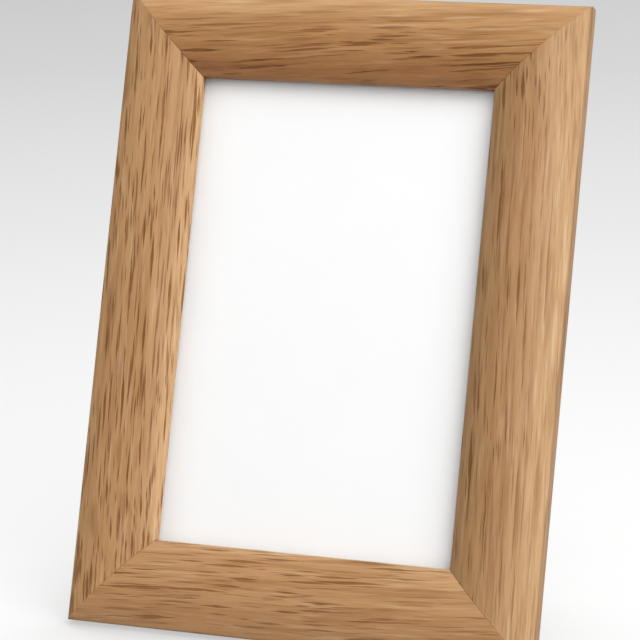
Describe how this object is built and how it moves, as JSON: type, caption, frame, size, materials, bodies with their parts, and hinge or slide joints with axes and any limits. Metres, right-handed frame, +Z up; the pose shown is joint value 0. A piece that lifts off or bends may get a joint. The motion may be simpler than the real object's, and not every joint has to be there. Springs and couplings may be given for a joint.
{
  "type": "easel back photo frame",
  "caption": "Standing oak photo frame: mitred cushion rails, glass and blank insert, back board held by turn buttons, and a hinged easel strut that folds flat.",
  "frame": {"origin": "on the floor, at the middle of the standing frame's bounding box seen from above", "axes": "+Z up, -Y towards the viewer of the print, +X to that viewer's right"},
  "size_m": [0.144, 0.0956, 0.185],
  "materials": {
    "oak": "satin oiled oak",
    "clear_glass": "clear float glass",
    "white_paper": "plain white",
    "fibreboard": "brown fibreboard",
    "nickel_plated_steel": "nickel plated",
    "bright_steel": "bright"
  },
  "bodies": {
    "frame": {"right_rail": "oak", "top_rail": "oak", "left_rail": "oak", "bottom_rail": "oak", "corner_v_nails": "bright_steel", "glass_pane": "clear_glass", "photo_insert": "white_paper", "back_board": "fibreboard", "turn_button_screws": "nickel_plated_steel", "hinge_board_leaf": "nickel_plated_steel", "hinge_pin": "nickel_plated_steel", "board_leaf_rivets": "nickel_plated_steel", "hanger_strap": "nickel_plated_steel", "hanger_rivet": "nickel_plated_steel"},
    "strut": {"easel_strut": "fibreboard", "hinge_strut_leaf": "nickel_plated_steel", "strut_leaf_rivets": "nickel_plated_steel"},
    "ring": {"hanger_ring": "nickel_plated_steel"},
    "button_left_lower": {"turn_button_left_lower": "nickel_plated_steel"},
    "button_left_upper": {"turn_button_left_upper": "nickel_plated_steel"},
    "button_right_lower": {"turn_button_right_lower": "nickel_plated_steel"},
    "button_right_upper": {"turn_button_right_upper": "nickel_plated_steel"}
  },
  "joints": [
    {"name": "strut_fold", "type": "hinge", "parent": "frame", "child": "strut", "pos_m": [0, 0.00465, 0.12399], "axis": [-1, 0, 0], "range_deg": [0, 36]},
    {"name": "turn_button_left_lower_turn", "type": "hinge", "parent": "frame", "child": "button_left_lower", "pos_m": [-0.0575, -0.02109, 0.05539], "axis": [0, 0.9455, -0.3256], "continuous": true},
    {"name": "turn_button_left_upper_turn", "type": "hinge", "parent": "frame", "child": "button_left_upper", "pos_m": [-0.0575, 0.00381, 0.12772], "axis": [0, 0.9455, -0.3256], "continuous": true},
    {"name": "turn_button_right_lower_turn", "type": "hinge", "parent": "frame", "child": "button_right_lower", "pos_m": [0.0575, -0.02109, 0.05539], "axis": [0, 0.9455, -0.3256], "continuous": true},
    {"name": "turn_button_right_upper_turn", "type": "hinge", "parent": "frame", "child": "button_right_upper", "pos_m": [0.0575, 0.00381, 0.12772], "axis": [0, 0.9455, -0.3256], "continuous": true},
    {"name": "ring_swing", "type": "hinge", "parent": "frame", "child": "ring", "pos_m": [0, 0.01534, 0.15627], "axis": [1, 0, 0], "range_deg": [-6, 160]}
  ]
}
